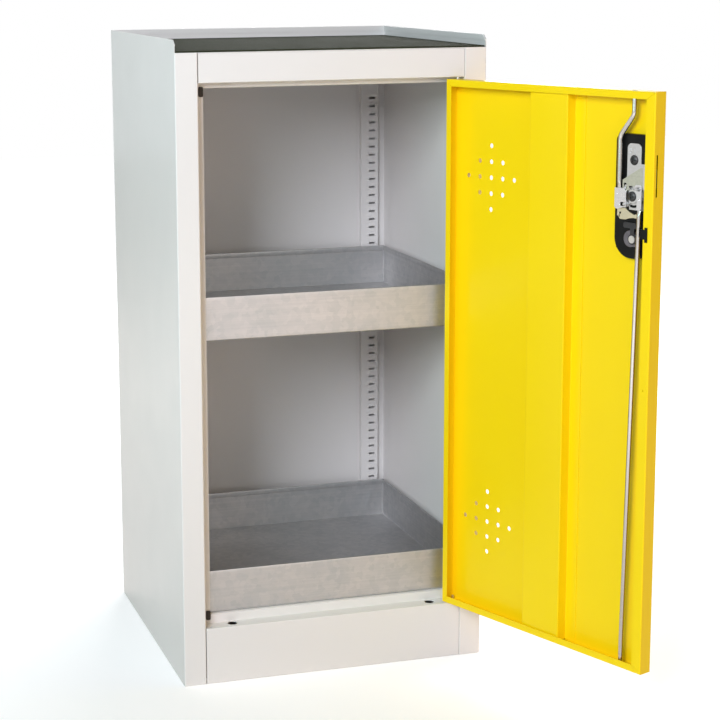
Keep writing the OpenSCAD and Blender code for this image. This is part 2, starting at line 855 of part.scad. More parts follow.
// Cam on the back of the core: unlocked, it points up, its head across the end of its arm
module lock_cam() {
    color(dark_colour) on_door() behind_door(pan_y + 3.3, pan_y + 5)
        translate(key_at) difference() {
            union() {
                circle(r = 8.4);
                polygon([[-4, 7], [-4, 17], [-16, 17], [-18, 19], [-18, 24], [-16, 26],
                    [6, 26], [8, 24], [8, 19], [6, 17], [4, 17], [4, 7]]);
            }
            circle(r = 6);
        }
}

// Brass keeper between the crank and the lock cylinder, wide at its hinge side
module lock_keeper() {
    color(brass_colour) on_door() behind_door(pan_y, pan_y + 3) difference() {
        polygon([[-31, -22], [-27, -19], [-14, -19.4], [-7.7, -24.3], [-1.3, -26.7], [3.8, -28.6],
            [8, -27], [11, -29.6], [9, -34], [2, -33.5], [-7.7, -35], [-14, -37.4], [-25, -37.4],
            [-31.4, -31.5]]);
        translate([-25, -27.7]) circle(r = 2);
        translate([-27.6, -34.4]) square([1.6, 4]);
    }
}

left_side();
right_side();
rear_panel();
roof_panel();
header_rail();
sill_rail();
floor_panel();
upright_rear_left();
upright_rear_right();
upright_front_left();
upright_front_right();
shelf_clips();
top_mat();
door_buffers();
hinge_pins();
hinge_washer();
upper_tray();
lower_tray();
door_panel();
door_stiffener();
pivot_plates();
rod_guides();
lock_housing();
lock_base_plate();
lock_screws();
lock_cylinder();
handle_lever();
handle_spindle();
lock_crank();
spindle_screw();
upper_rod();
upper_link();
lower_rod();
lower_link();
side_bolt();
lock_core();
lock_cam();
lock_keeper();
bolt_guide();
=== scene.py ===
# %% [markdown]
# # A sheet-steel chemical cabinet, dressed in Blender
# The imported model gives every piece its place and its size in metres. This notebook keeps that
# frame and adds what a maker's drawing leaves out: soft folds, rolled hems, welds, powder coat,
# galvanised spangle and the light of a studio. Each step says what the real piece is, and why it
# is made the way it is here.

import json
import math

import bmesh
import bpy
import numpy as np
from mathutils import Matrix


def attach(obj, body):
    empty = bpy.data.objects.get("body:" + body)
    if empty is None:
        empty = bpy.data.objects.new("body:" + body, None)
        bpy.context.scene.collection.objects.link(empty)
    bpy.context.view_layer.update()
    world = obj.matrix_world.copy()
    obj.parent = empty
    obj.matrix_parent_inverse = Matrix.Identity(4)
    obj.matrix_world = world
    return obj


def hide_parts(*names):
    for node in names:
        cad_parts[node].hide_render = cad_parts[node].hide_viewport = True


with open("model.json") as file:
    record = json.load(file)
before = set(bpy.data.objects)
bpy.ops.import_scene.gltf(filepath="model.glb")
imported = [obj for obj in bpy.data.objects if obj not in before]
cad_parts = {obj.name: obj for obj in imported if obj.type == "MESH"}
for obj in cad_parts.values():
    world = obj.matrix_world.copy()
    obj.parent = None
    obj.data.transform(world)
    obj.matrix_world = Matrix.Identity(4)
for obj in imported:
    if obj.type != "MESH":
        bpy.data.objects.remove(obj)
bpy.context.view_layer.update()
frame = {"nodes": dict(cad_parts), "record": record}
nodes = frame["nodes"]

# %% [markdown]
# ## The camera
# The photograph was taken a little above the middle of the cabinet, from its left, with a long
# lens. The camera's place, turn and lens were fitted to the corners of the carcass and the door.
# A small vertical shift keeps the uprights nearly parallel, as a studio photographer would.

# %% Camera fitted to the photograph
def aim(position, yaw, pitch, roll):
    """Rows of a camera matrix: forward from yaw and pitch, then right and up turned by roll."""
    yaw, pitch, roll = np.radians([yaw, pitch, roll])
    forward = np.array([-np.sin(yaw) * np.cos(pitch), np.cos(yaw) * np.cos(pitch), np.sin(pitch)])
    right = np.array([np.cos(yaw), np.sin(yaw), 0.0])
    up = np.cross(right, forward)
    across = np.cos(roll) * right + np.sin(roll) * up
    above = -np.sin(roll) * right + np.cos(roll) * up
    matrix = np.eye(4)
    matrix[:3, 0], matrix[:3, 1], matrix[:3, 2] = across, above, -forward
    matrix[:3, 3] = position
    return matrix


# In pixels of the photograph: its width, the lens, and how far the lens's axis lies off its middle
picture_width, focal_length = 720, 1872.0
axis_right, axis_down = 70.9, -60.0
# In metres and degrees, on the cabinet's own axes
camera_place = (-0.9657, -2.9835, 1.2246)

camera_data = bpy.data.cameras.new("camera")
camera_data.sensor_width = 36.0
camera_data.lens = focal_length / picture_width * 36
camera_data.shift_x = axis_right / picture_width
camera_data.shift_y = axis_down / picture_width
camera_data.clip_end = 50.0
camera = bpy.data.objects.new("camera", camera_data)
bpy.context.collection.objects.link(camera)
placed = aim(camera_place, yaw=-16.522, pitch=-10.168, roll=-0.376)
camera.matrix_world = Matrix(placed.tolist())
bpy.context.scene.camera = camera
bpy.context.scene.view_settings.view_transform = "Standard"
print("camera", np.round(placed[:3, 3], 3).tolist(), "lens", round(camera_data.lens, 2))

# %% [markdown]
# ## Materials
# A material is a small graph of nodes. A helper that adds one node and one that joins two sockets
# keep each finish to a few lines. Patterns are read from Object coordinates, so they stay on the
# piece in every view.

# %% Helpers for node graphs
def new_material(name, **constants):
    """A material with a principled shader whose constant sockets are set by name."""
    material = bpy.data.materials.new(name)
    material.use_nodes = True
    shader = material.node_tree.nodes["Principled BSDF"]
    for socket, value in constants.items():
        shader.inputs[socket.replace("_", " ")].default_value = value
    return material, material.node_tree, shader


def add(tree, kind, inputs=None, **settings):
    """One node of a kind, with its settings and its inputs: a value, or a socket to join."""
    made = tree.nodes.new(kind)
    for key, value in settings.items():
        setattr(made, key, value)
    for key, value in (inputs or {}).items():
        if isinstance(value, bpy.types.NodeSocket):
            tree.links.new(value, made.inputs[key])
        else:
            made.inputs[key].default_value = value
    return made


def ramp(tree, source, stops):
    """A colour ramp: a list of (position, grey or colour) laid over a 0 to 1 source."""
    made = add(tree, "ShaderNodeValToRGB", {"Fac": source})
    elements = made.color_ramp.elements
    while len(elements) < len(stops):
        elements.new(0.5)
    for element, (position, colour) in zip(elements, stops):
        element.position = position
        grey = isinstance(colour, (int, float))
        element.color = (colour, colour, colour, 1) if grey else (*colour, 1)
    return made.outputs["Color"]


def object_point(tree, scale=(1, 1, 1)):
    """Object coordinates, stretched along each axis."""
    place = add(tree, "ShaderNodeTexCoord").outputs["Object"]
    return add(tree, "ShaderNodeMapping", {"Vector": place, "Scale": scale}).outputs["Vector"]


def noise(tree, point, scale, detail=2.0, roughness=0.5):
    """Noise from 0 to 1, read at a point."""
    made = add(tree, "ShaderNodeTexNoise", {
        "Vector": point, "Scale": scale, "Detail": detail, "Roughness": roughness})
    return made.outputs["Fac"]


def bump(tree, height, strength, distance):
    """A normal tilted by a height from 0 to 1, which stands for the distance in metres."""
    made = add(tree, "ShaderNodeBump", {
        "Height": height, "Strength": strength, "Distance": distance})
    return made.outputs["Normal"]


def join(tree, source, shader, socket):
    """Join a node's output to a shader's socket by name."""
    tree.links.new(source, shader.inputs[socket])

# %% [markdown]
# ### Powder coat
# Powder coat melts and flows in the oven, but not fully: it keeps a soft orange peel a few
# millimetres across. The colour is even, with a faint drift over hundreds of millimetres, and the
# gloss varies a little where hands and cloths have been.

# %% Powder coat, for the carcass and for the door
def powder_coat(name, colour, drift, sheen_level=0.5):
    """Even colour with a slow drift, orange-peel bump and a slightly cloudy gloss. The level is
    how strongly the coat mirrors the white studio, which pales a strong colour."""
    material, tree, shader = new_material(
        name, Metallic=0.0, IOR=1.5, Coat_Weight=0.5 * sheen_level, Coat_Roughness=0.12,
        Specular_IOR_Level=sheen_level)
    point = object_point(tree)
    slow = noise(tree, point, 3.0)
    join(tree, ramp(tree, slow, [(0.3, drift), (0.7, colour)]), shader, "Base Color")
    cloud = noise(tree, point, 14.0, 4.0)
    join(tree, ramp(tree, cloud, [(0.3, 0.30), (0.75, 0.42)]), shader, "Roughness")
    peel = noise(tree, point, 420.0, 1.0)
    join(tree, bump(tree, peel, 0.05, 0.0006), shader, "Normal")
    return material


grey_coat = powder_coat("carcass_powder_coat", (0.80, 0.785, 0.775), (0.78, 0.765, 0.755))
yellow_coat = powder_coat(
    "door_powder_coat", (0.99, 0.71, 0.004), (0.97, 0.68, 0.003), sheen_level=0.2)
print("powder coats:", grey_coat.name, yellow_coat.name)

# %% [markdown]
# ### Galvanised sheet
# Hot-dip zinc freezes in crystals, the spangle: patches some 5 to 15 mm across, each at its own
# tilt, so each mirrors the room a little differently. The sheet mill leaves fine lines along its
# length. A cell pattern gives the patches, a stretched noise the lines.

# %% Galvanised sheet, and the bright zinc of small parts
def galvanised(name, light, dark, spangle, gloss, relief=0.03):
    """Cells of random tone and gloss, softened by noise, over fine lines drawn along the sheet.
    The relief is the strength of the bump that the pattern makes."""
    material, tree, shader = new_material(name, Metallic=1.0)
    point = object_point(tree)
    wobble = add(tree, "ShaderNodeTexNoise", {"Vector": point, "Scale": spangle * 1.5})
    bent = add(tree, "ShaderNodeVectorMath", {
        0: wobble.outputs["Color"], 1: (0.004, 0.004, 0.004), 2: point}, operation="MULTIPLY_ADD")
    cells = add(tree, "ShaderNodeTexVoronoi", {"Vector": bent.outputs[0], "Scale": spangle})
    tone = add(tree, "ShaderNodeSeparateColor", {"Color": cells.outputs["Color"]})
    drawn = noise(tree, object_point(tree, (3, 3, 260)), 1.0, 4.0, 0.6)
    cloud = noise(tree, point, 9.0, 3.0)
    lined = add(tree, "ShaderNodeMix", {0: 0.70, 2: tone.outputs["Red"], 3: drawn})
    mixed = add(tree, "ShaderNodeMix", {0: 0.45, 2: lined.outputs[0], 3: cloud})
    mixed = mixed.outputs[0]
    join(tree, ramp(tree, mixed, [(0.30, dark), (0.72, light)]), shader, "Base Color")
    join(tree, ramp(tree, mixed, [(0.25, gloss[1]), (0.75, gloss[0])]), shader, "Roughness")
    join(tree, bump(tree, mixed, relief, 0.0003), shader, "Normal")
    return material


spangle_sheet = galvanised(
    "galvanised_sheet", (0.56, 0.55, 0.545), (0.42, 0.43, 0.44), 110.0, (0.38, 0.54))
bright_zinc = galvanised(
    "bright_zinc", (0.66, 0.66, 0.66), (0.56, 0.56, 0.57), 500.0, (0.24, 0.36))
yellow_zinc = galvanised(
    "yellow_passivated_zinc", (0.60, 0.61, 0.52), (0.47, 0.48, 0.40), 300.0, (0.26, 0.40))
polished_zinc = galvanised(
    "polished_zinc", (0.84, 0.85, 0.87), (0.70, 0.71, 0.74), 700.0, (0.14, 0.28))
drawn_bar = galvanised(
    "drawn_steel_bar", (0.62, 0.605, 0.58), (0.55, 0.535, 0.505), 900.0, (0.15, 0.21), relief=0.004)
print("zinc:", spangle_sheet.name, bright_zinc.name, yellow_zinc.name, polished_zinc.name)

# %% [markdown]
# ### Plastic, rubber, brass and dark steel
# Moulded plastic has a fine spark-eroded grain. Rubber is duller and takes dust. Pressed brass and
# blackened screws are metals with a worn, uneven gloss.

# %% The smaller finishes
def plain_finish(name, colour, second, gloss, metal, grain, depth, sheen_level=0.5):
    """Two close tones mixed by noise, gloss between two values, and a fine grain. The level is
    how strongly a surface that isn't metal mirrors."""
    material, tree, shader = new_material(
        name, Metallic=metal, Specular_IOR_Level=sheen_level)
    point = object_point(tree)
    patch = noise(tree, point, 40.0, 5.0, 0.6)
    join(tree, ramp(tree, patch, [(0.3, colour), (0.75, second)]), shader, "Base Color")
    join(tree, ramp(tree, patch, [(0.2, gloss[0]), (0.8, gloss[1])]), shader, "Roughness")
    fine = noise(tree, point, grain, 2.0)
    join(tree, bump(tree, fine, 0.15, depth), shader, "Normal")
    return material


black_plastic = plain_finish(
    "black_plastic", (0.004, 0.004, 0.004), (0.009, 0.009, 0.009), (0.30, 0.46), 0.0, 2500, 0.0001,
    sheen_level=0.14)
mat_rubber = plain_finish(
    "mat_rubber", (0.025, 0.029, 0.016), (0.037, 0.042, 0.025), (0.66, 0.82), 0.0, 1500, 0.0002,
    sheen_level=0.08)
buffer_rubber = plain_finish(
    "buffer_rubber", (0.020, 0.014, 0.009), (0.030, 0.022, 0.015), (0.6, 0.8), 0.0, 1800, 0.0002)
pale_brass = plain_finish(
    "pale_brass", (0.72, 0.66, 0.46), (0.60, 0.56, 0.42), (0.25, 0.42), 1.0, 900, 0.0001)
black_steel = plain_finish(
    "black_steel", (0.035, 0.034, 0.036), (0.06, 0.058, 0.06), (0.30, 0.50), 0.6, 1200, 0.0001)
lock_alloy = plain_finish(
    "lock_alloy", (0.13, 0.125, 0.14), (0.22, 0.21, 0.235), (0.24, 0.40), 0.9, 1200, 0.0001)
core_alloy = plain_finish(
    "core_alloy", (0.70, 0.69, 0.66), (0.55, 0.54, 0.52), (0.25, 0.40), 1.0, 1200, 0.0001)

finish_of = {
    "carcass_paint": grey_coat, "door_paint": yellow_coat, "galvanised": spangle_sheet,
    "zinc": bright_zinc, "black_steel": black_steel, "lock_alloy": lock_alloy,
    "core_alloy": core_alloy, "brass_plate": pale_brass, "black_plastic": black_plastic,
    "mat_rubber": mat_rubber, "buffer_rubber": buffer_rubber}

# %% Give every piece of the drawing its finish
for part in frame["record"]["subparts"]:
    for place in nodes[part["node"]].material_slots:
        place.material = finish_of[part["material_slot"]]

# %% [markdown]
# ## From a grid of points to a piece
# Every new piece below is one or more shells. A shell is a grid of points worked out as one array,
# and its faces join neighbours in the grid. Written this way, a shape is a formula that can be
# read, checked and changed, where a sculpted mesh could not. A shell that comes out inside out is
# found by the sign of its volume and turned round.

# %% Shells and pieces
def shell(grid, around=False, first=False, last=False):
    """Points and faces of a grid (rows, columns, 3). Neighbours make quads; around joins the last
    column to the first; first and last close those rows with one face each."""
    rows, columns = grid.shape[:2]
    index = np.arange(rows * columns).reshape(rows, columns)
    ring = np.concatenate([index, index[:, :1]], axis=1) if around else index
    quads = np.stack([ring[:-1, :-1], ring[:-1, 1:], ring[1:, 1:], ring[1:, :-1]], axis=-1)
    faces = quads.reshape(-1, 4).tolist()
    if first:
        faces.append(index[0, ::-1].tolist())
    if last:
        faces.append(index[-1].tolist())
    return outward(grid.reshape(-1, 3), faces)


def signed_power(values, power):
    """The size of each value raised to a power, with the value's own sign: the curve of a
    superellipse, which squares a circle off as the power falls from 1."""
    return np.sign(values) * np.abs(values) ** power


def outward(points, faces):
    """Six times the volume under a closed shell is the sum, over fans of its faces, of the triple
    product of three corners. Where the sum is negative every face is turned round."""
    middle = points.mean(axis=0)
    total = 0.0
    for size in {len(face) for face in faces}:
        corners = points[np.array([face for face in faces if len(face) == size])] - middle
        for k in range(1, size - 1):
            total += np.einsum(
                "ij,ij->", corners[:, 0], np.cross(corners[:, k], corners[:, k + 1]))
    return points, (faces if total > 0 else [face[::-1] for face in faces])


def build_piece(name, shells, body, slot, stands_for=(), sharp=40.0):
    """One object from several shells, smooth but for folds sharper than an angle, riding on a
    body and wearing the finish of a slot."""
    points, faces, count = [], [], 0
    for some_points, some_faces in shells:
        points.append(some_points)
        faces += [[k + count for k in face] for face in some_faces]
        count += len(some_points)
    mesh = bpy.data.meshes.new(name)
    mesh.from_pydata(np.concatenate(points).tolist(), [], faces)
    mesh.shade_smooth()
    mesh.set_sharp_from_angle(angle=math.radians(sharp))
    mesh.materials.append(finish_of[slot])
    made = bpy.data.objects.new(name, mesh)
    bpy.context.collection.objects.link(made)
    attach(made, body)
    if stands_for:
        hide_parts(*stands_for)
    print(f"{name}: {len(shells)} shells, {len(faces)} faces")
    return made

# %% [markdown]
# ## Softened edges
# Pressed, stamped and moulded parts have no perfectly sharp edge, and a thin line of light on the
# edge is what tells the eye so. For parts whose shape is right already, a merged copy of the drawn
# mesh gets a narrow bevel on its sharp edges, and stands for the drawn one.

# %% A merged and bevelled copy of a drawn piece
def softened(node, width, steps=2, angle=35.0):
    """Weld the copy's loose triangles, dissolve the flat ones, and bevel what is left sharp."""
    drawn = nodes[node]
    mesh = drawn.data.copy()
    mesh.name = node + "_soft"
    made = bpy.data.objects.new(node + "_soft", mesh)
    bpy.context.collection.objects.link(made)
    shaped = bmesh.new()
    shaped.from_mesh(mesh)
    bmesh.ops.remove_doubles(shaped, verts=shaped.verts, dist=2e-6)
    bmesh.ops.dissolve_limit(
        shaped, angle_limit=math.radians(0.6), verts=shaped.verts, edges=shaped.edges)
    shaped.to_mesh(mesh)
    shaped.free()
    bevel = made.modifiers.new("soft_edges", "BEVEL")
    bevel.width, bevel.segments = width, steps
    bevel.limit_method, bevel.angle_limit = "ANGLE", math.radians(angle)
    bevel.harden_normals = True
    mesh.shade_smooth()
    mesh.set_sharp_from_angle(angle=math.radians(angle))
    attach(made, body_with[node])
    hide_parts(node)
    return made


body_with = {
    node: body for body, held in frame["record"]["behaviour"]["bodies"].items() for node in held}
print("bodies:", sorted(set(body_with.values())))

# %% [markdown]
# ## The spill trays
# Each tray is one sheet of galvanised steel with its four walls folded up, the top of each wall
# folded down inside as a hem, and the corners welded. So it is one profile, from the underside
# over the hem to the floor, carried round a rectangle. The walls of such a tray are never quite
# flat: a folded sheet keeps a slow swell of a few tenths of a millimetre, which only shows in the
# way it mirrors the room.

# %% Profile of a wall, from the underside over the hem to the tray's floor
# Millimetres: the trays' outer corners, their walls, the swell of a wall, and where each tray lies
tray_low_corner, tray_high_corner = (-267.0, 35.0), (267.0, 505.0)
tray_middle = np.array([0.0, 270.0])
tray_height, tray_sheet, tray_hem, tray_swell = 75.0, 1.2, 10.0, 0.30
tray_floor = {"upper_tray": 597.0, "lower_tray": 116.0}


def arc(middle, radius, start, stop, steps):
    """Points on a circle about the middle, at even angles in degrees."""
    turn = np.radians(np.linspace(start, stop, steps))
    return np.stack([middle[0] + radius * np.cos(turn), middle[1] + radius * np.sin(turn)], axis=1)


def wall_profile(height, sheet, hem):
    """Pairs of inset and height in millimetres: out along the underside, round the fold, up the
    wall, over the hem in a half circle, down to its cut edge, down the inside, in over the floor."""
    bend = sheet + 0.8
    rise = np.linspace(bend + 4, height - 6, 9)
    return np.concatenate([
        [(40, 0), (6, 0)], arc((bend, bend), bend, 270, 180, 6),
        np.stack([0 * rise, rise], axis=1),
        arc((sheet, height - sheet), sheet, 180, 0, 9),
        [(2 * sheet, height - hem + 0.8), (2 * sheet - 0.25, height - hem + 0.2),
         (sheet + 0.5, height - hem), (sheet, height - hem + 0.15)],
        np.stack([sheet + 0 * rise, rise[::-1] - 4], axis=1),
        arc((bend, bend), 0.8, 180, 270, 5), [(6, sheet), (40, sheet)]])


# %% A profile carried round a rectangle
def round_rectangle(corners, inset, radius, along=24, bends=5):
    """Closed outlines, one row for each inset. Every corner is an arc of the row's radius about a
    point that moves in with the inset, and every side has evenly spaced points."""
    (x0, y0), (x1, y1) = corners
    x0, y0 = x0 + inset + radius, y0 + inset + radius
    x1, y1 = x1 - inset - radius, y1 - inset - radius
    parts = []
    for k, (x, y, next_x, next_y) in enumerate([
            (x0, y0, x1, y0), (x1, y0, x1, y1), (x1, y1, x0, y1), (x0, y1, x0, y0)]):
        turn = np.radians(180 + 90 * k + np.linspace(0, 90, bends))
        bend = np.stack([x[:, None] + radius[:, None] * np.cos(turn),
                         y[:, None] + radius[:, None] * np.sin(turn)], axis=-1)
        share = np.linspace(0, 1, along + 2)[1:-1]
        off = np.array([np.cos(turn[-1]), np.sin(turn[-1])])
        start = np.stack([x, y], axis=-1) + radius[:, None] * off
        stop = np.stack([next_x, next_y], axis=-1) + radius[:, None] * off
        side = start[:, None] + (stop - start)[:, None] * share[None, :, None]
        parts += [bend, side]
    return np.concatenate(parts, axis=1)


def tray_shell(low_z):
    """The profile's inset grows by a swell that is nil at the folds and at the corners."""
    profile = wall_profile(tray_height, tray_sheet, tray_hem)
    inset, height = profile[:, 0], profile[:, 1]
    radius = np.where(inset > 3, 0.4, np.maximum(1.6 - inset, 0.4))
    outline = round_rectangle((tray_low_corner, tray_high_corner), inset, radius)
    share = np.linspace(0, 1, outline.shape[1])
    bulge = np.sin(4 * np.pi * share)[None] ** 2 * np.sin(7.0 * share + 0.5)[None] ** 2
    rise = np.sin(np.pi * np.clip(height / tray_height, 0, 1))[:, None] * (inset < 3)[:, None]
    swell = tray_swell * bulge * rise
    inward = tray_middle - outline
    inward /= np.linalg.norm(inward, axis=-1, keepdims=True)
    outline = outline + inward * swell[..., None]
    points = np.concatenate([
        outline, np.broadcast_to(height[:, None, None] + low_z, (*outline.shape[:2], 1))], axis=-1)
    return shell(points * 0.001, around=True, first=True, last=True)


for node, low_z in tray_floor.items():
    build_piece(
        node + "_pan", [tray_shell(low_z)], body_with[node], "galvanised", [node], sharp=30)

# %% [markdown]
# ### Weld beads
# Each upright corner is closed inside with a hand-laid bead. A bead is a chain of overlapping
# puddles, so its radius rises and falls every 2 or 3 millimetres, and drifts as the hand does.

# %% Four beads in each tray
def bead(x, y, low, high, radius, seed):
    """A round bar up a corner: radius times one plus a fast ripple and a slow drift."""
    z = np.linspace(low, high, 150)
    around = np.linspace(0, 2 * np.pi, 14, endpoint=False)
    ripple = 0.16 * np.abs(np.sin(np.pi * z / 2.6 + seed)) + 0.10 * np.sin(z / 5.3 + 2 * seed)
    taper = np.clip(np.minimum(z - low, high - z) / 1.2, 0.15, 1) ** 0.5
    r = radius * (0.92 + ripple) * taper
    lean = 0.25 * np.sin(z / 4.1 + seed)
    points = np.stack([
        x + lean[:, None] + r[:, None] * np.cos(around), y + r[:, None] * np.sin(around),
        np.broadcast_to(z[:, None], (len(z), len(around)))], axis=-1)
    return shell(points * 0.001, around=True, first=True, last=True)


bead_radius, bead_inset = 1.3, 1.6
weld_corners = [
    (tray_middle[0] + right * (tray_high_corner[0] - tray_middle[0] - bead_inset),
     tray_middle[1] + back * (tray_high_corner[1] - tray_middle[1] - bead_inset))
    for right in (-1, 1) for back in (-1, 1)]
for node, low_z in tray_floor.items():
    under_hem = low_z + tray_height - tray_hem - 0.5
    beads = [bead(x, y, low_z + bead_inset, under_hem, bead_radius, seed=1.3 * k)
             for k, (x, y) in enumerate(weld_corners)]
    build_piece(node + "_welds", beads, body_with[node], "galvanised")

# %% [markdown]
# ## The roof mat
# The mat is ribbed rubber, cut to lie inside the rim. Its ribs run from side to side, so its
# height is a function of one direction only, and the sheet lies a little uneven in the other.

# %% Ribbed mat
# Millimetres: the mat's edges and middle, its underside, the middle height of its ribs, and the
# ribs' pitch
mat_half_width, mat_front, mat_back, mat_middle = 269.5, 1.0, 516.0, 258.0
mat_under, mat_top, rib_pitch = 1084.0, 1086.45, 5.0


def mat_shell(columns=12):
    """Height over depth: a 2 mm sheet with ribs 1 mm high, their flanks a smoothed square wave.
    The edge falls square to the roof on all four sides."""
    y = np.linspace(mat_front, mat_back, 1031)
    wave = np.tanh(3.0 * np.cos(2 * np.pi * (y - 6.0) / rib_pitch)) / np.tanh(3.0)
    z = mat_top + 0.5 * wave
    z[[0, -1]] = mat_top - 0.05
    y = np.r_[mat_middle, y[0], y, y[-1], mat_middle]
    z = np.r_[mat_under, mat_under, z, mat_under, mat_under]
    x = np.linspace(-mat_half_width, mat_half_width, columns)
    lie = 0.04 * np.sin(x / 61.0)[None] * (z > mat_under + 1)[:, None]
    points = np.stack([np.broadcast_to(x, (len(y), columns)),
                       np.broadcast_to(y[:, None], (len(y), columns)), z[:, None] + lie], axis=-1)
    top, faces = shell(points * 0.001)
    rows = np.arange(len(y)) * columns
    faces.append(rows.tolist())
    faces.append((rows + columns - 1)[::-1].tolist())
    return outward(top, faces)


build_piece("ribbed_mat", [mat_shell()], "cabinet", "mat_rubber", ["top_mat"], sharp=50)

# %% [markdown]
# ## The door's frame of reference
# The lock is drawn as a fitter sees it from inside the door: across to the free edge, up from the
# spindle, and deep into the door from its outer face. One function puts such points in the world.

# %% From the closed door to the door as it stands
# Degrees the door stands open; the pivot pins' x and y, and the spindle's x and z, in millimetres
door_open = 112.0
pivot_x, pivot_y = 222.8, 5.3
spindle_x, spindle_z = -180.0, 867.0


def on_door(points):
    """Turn points of the closed door, in millimetres, about the pivot pins."""
    turn = np.radians(door_open)
    x, y = points[..., 0] - pivot_x, points[..., 1] - pivot_y
    return 0.001 * np.stack([
        pivot_x + x * np.cos(turn) - y * np.sin(turn),
        pivot_y + x * np.sin(turn) + y * np.cos(turn), points[..., 2]], axis=-1)


def behind_door(across, deep, up):
    """Points given as three arrays that broadcast: closed door first, then swung open."""
    across, deep, up = np.broadcast_arrays(across, deep, up)
    return on_door(np.stack([spindle_x - across, deep, spindle_z + up], axis=-1))


# %% [markdown]
# ## Locking rods
# The rods are cold-bent round bar. At the lock each one is pressed flat, so that its link can lie
# on it and be welded. So a rod is a section carried along a bent line, and the section changes
# from a circle to a flat with round corners over the last centimetre.

# %% A line with round bends, and a section carried along it
# Millimetres: the bar's radius, its depth in the door, and the length pressed flat at the lock
rod_radius, rod_depth, flat_end = 4.0, 17.0, 14.0


def bent_line(points, radius, step=1.5):
    """Straight runs joined by arcs of one radius, as points about a step apart."""
    points = np.array(points, float)
    runs = [points[:1]]
    for before, here, after in zip(points[:-2], points[1:-1], points[2:]):
        into = (here - before) / np.linalg.norm(here - before)
        out = (after - here) / np.linalg.norm(after - here)
        turn = np.arctan2(into[0] * out[1] - into[1] * out[0], into @ out)
        start = here - into * radius * np.tan(abs(turn) / 2)
        middle = start + np.sign(turn) * radius * np.array([-into[1], into[0]])
        swing = np.linspace(0, turn, 14)[:, None]
        spoke = start - middle
        cross = np.array([-spoke[1], spoke[0]])
        runs.append(middle + np.cos(swing) * spoke + np.sin(swing) * cross)
    runs.append(points[-1:])
    coarse = np.concatenate(runs)
    length = np.r_[0, np.cumsum(np.linalg.norm(np.diff(coarse, axis=0), axis=1))]
    even = np.linspace(0, length[-1], int(length[-1] / step) + 2)
    return np.stack([np.interp(even, length, coarse[:, k]) for k in (0, 1)], axis=1), even


def rod_shell(line, deep, wide, thick, square):
    """Each ring is a superellipse, wide across the line and thick through the door."""
    along = np.gradient(line, axis=0)
    along /= np.linalg.norm(along, axis=1, keepdims=True)
    side = np.stack([-along[:, 1], along[:, 0]], axis=1)
    turn = np.linspace(0, 2 * np.pi, 20, endpoint=False)
    power = (2.0 / square)[:, None]
    u = wide[:, None] * signed_power(np.cos(turn), power)
    v = thick[:, None] * signed_power(np.sin(turn), power)
    across = line[:, :1] + side[:, :1] * u
    up = line[:, 1:] + side[:, 1:] * u
    return shell(behind_door(across, deep[:, None] + v, up), around=True, first=True, last=True)


def pressed_rod(points, radius, flat_for):
    """A round bar whose first millimetres, at the lock, are pressed into a flat with square
    sides. Over the next 12 mm the flat grows back into the circle."""
    line, length = bent_line(points, radius)
    flat = np.clip((flat_for + 12 - length) / 12, 0, 1)
    flat = flat * flat * (3 - 2 * flat)
    end = np.clip((length[-1] - length) / 0.8, 0.75, 1)
    return rod_shell(line, rod_depth + 0.25 * flat, (rod_radius - 0.5 * flat) * end,
                     (rod_radius - 2.75 * flat) * end, 2.0 + 2.5 * flat)


upper_line = [(-25.0, -1.5), (-25.0, 93.4), (2.0, 127.0), (2.0, 163.0)]
lower_line = [(17.0, -3.5), (17.0, -17.0), (2.0, -719.0), (2.0, -763.0)]
for name, line, bend_radius, node in [
        ("upper_bent_rod", upper_line, 16.0, "upper_rod"),
        ("lower_bent_rod", lower_line, 60.0, "lower_rod")]:
    rod = build_piece(name, [pressed_rod(line, bend_radius, flat_end)], body_with[node], "zinc",
                      [node], sharp=60)
    rod.data.materials[0] = drawn_bar

# %% [markdown]
# ## Screws
# The two black screws have pan heads with a cross recess. Their height is a function of radius
# and angle: a flat dome that rolls over at the rim, less a cross whose arms have sloped sides.

# %% Pan head screws
# Millimetres: the head's radius and height, the half width and length of an arm of the cross where
# it is full deep, and its depth
head_radius, head_height = 8.0, 3.4
arm_half_width, arm_half_length, cross_depth = 0.62, 4.3, 1.9


def screw_shell(across, up, deep, sides=72):
    """Height is h (1 - 0.9 (r/R)^4), less a recess where the point lies in an arm of the cross."""
    share = np.r_[np.linspace(0.02, 0.62, 26), np.linspace(0.65, 1, 12)]
    turn = np.linspace(0, 2 * np.pi, sides, endpoint=False)
    r = head_radius * share[:, None]
    x, y = r * np.cos(turn), r * np.sin(turn)
    dome = head_height * (1 - 0.9 * share[:, None] ** 4)
    arm = np.minimum(
        np.maximum(np.abs(x) / arm_half_width, np.abs(y) / arm_half_length),
        np.maximum(np.abs(y) / arm_half_width, np.abs(x) / arm_half_length))
    recess = cross_depth * np.clip((1.35 - arm) / 0.35, 0, 1)
    top = deep + dome - recess
    top = np.concatenate([top, np.full((1, sides), deep)])
    x, y = np.concatenate([x, x[-1:]]), np.concatenate([y, y[-1:]])
    return shell(behind_door(across + x, top, up + y), around=True, first=True, last=True)


build_piece("base_plate_screw", [screw_shell(across=0.0, up=56.3, deep=12.5)], "door",
            "black_steel", ["lock_screws"], sharp=35)
build_piece("crank_screw", [screw_shell(across=0.0, up=0.0, deep=15.5)], "handle",
            "black_steel", ["spindle_screw"], sharp=35)

# %% [markdown]
# ## Handle
# The lever is moulded: a round hub, a slim neck and a broad tip, arched away from the door so
# that fingers pass behind it. Each section across it is a superellipse, whose half width, half
# thickness and middle are smooth functions of the distance from the hub.

# %% Lever
# Millimetres: the hub's radius, the distance at which the tip starts to round off, and how far the
# tip reaches beyond it. The squareness is the power of the section's superellipse.
hub_radius, tip_start, tip_reach = 14.0, 75.0, 9.0
lever_squareness = 0.62


